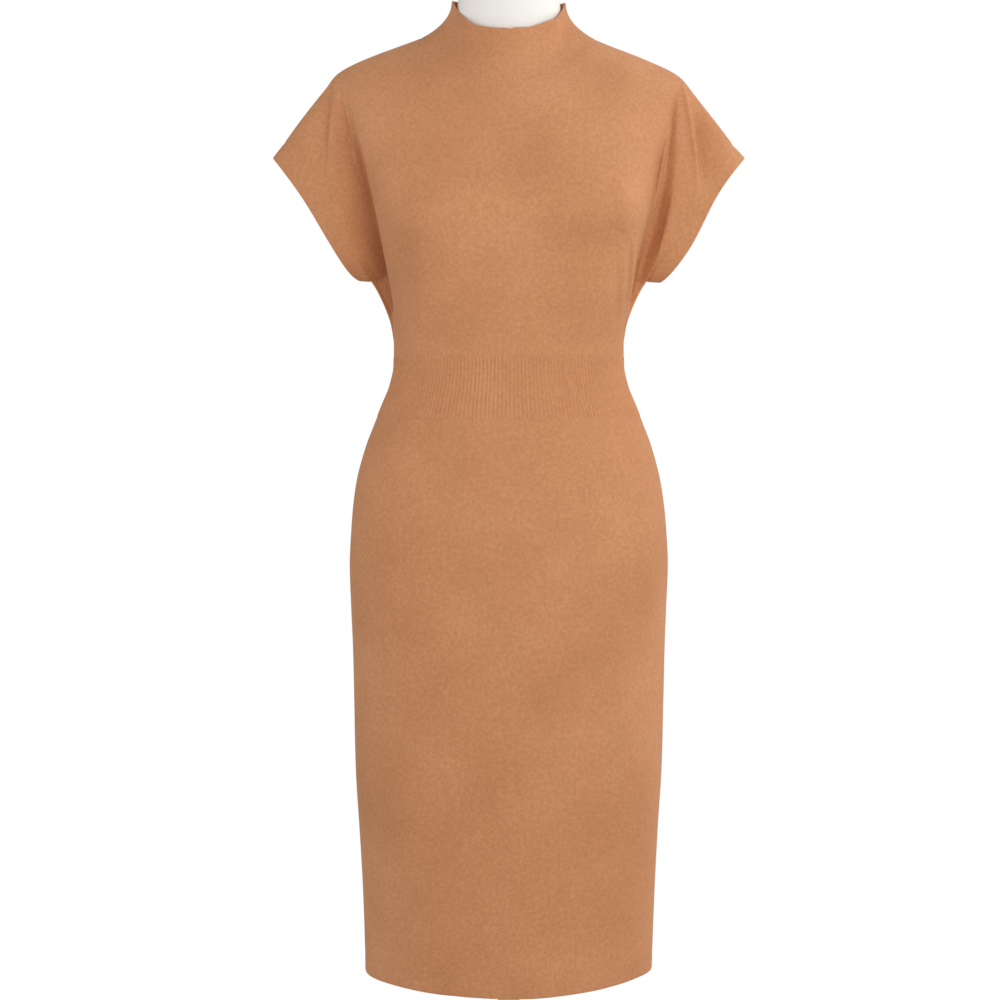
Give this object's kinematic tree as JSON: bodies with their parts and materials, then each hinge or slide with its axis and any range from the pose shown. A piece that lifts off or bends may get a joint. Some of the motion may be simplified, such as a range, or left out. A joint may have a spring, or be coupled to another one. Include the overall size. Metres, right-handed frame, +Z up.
{
  "type": "sweater dress on a dress form",
  "caption": "Knee-length knit sweater dress with mock neck, short dolman sleeves and ribbed waistband, worn open and hollow on a limbless dress form with pole and round base.",
  "frame": {"origin": "centre of the round base's underside, on the floor", "axes": "+Z up along the pole, the front of the dress faces -Y, and +X is to the right of someone who faces the front"},
  "size_m": [0.537, 0.33, 1.48],
  "materials": {
    "knit": "fine-gauge camel jersey knit, matt, slightly heathered",
    "rib_knit": "camel rib knit, matt",
    "form": "satin white moulded shell",
    "stand": "white powder coat"
  },
  "bodies": {
    "root": {"bodice_front": "knit", "bodice_back": "knit", "collar": "knit", "cuff_left": "knit", "cuff_right": "knit", "waistband_front": "rib_knit", "waistband_back": "rib_knit", "skirt_front": "knit", "skirt_back": "knit", "hem_band": "knit", "form_torso": "form", "stand_pole": "stand", "stand_base": "stand"}
  },
  "joints": []
}
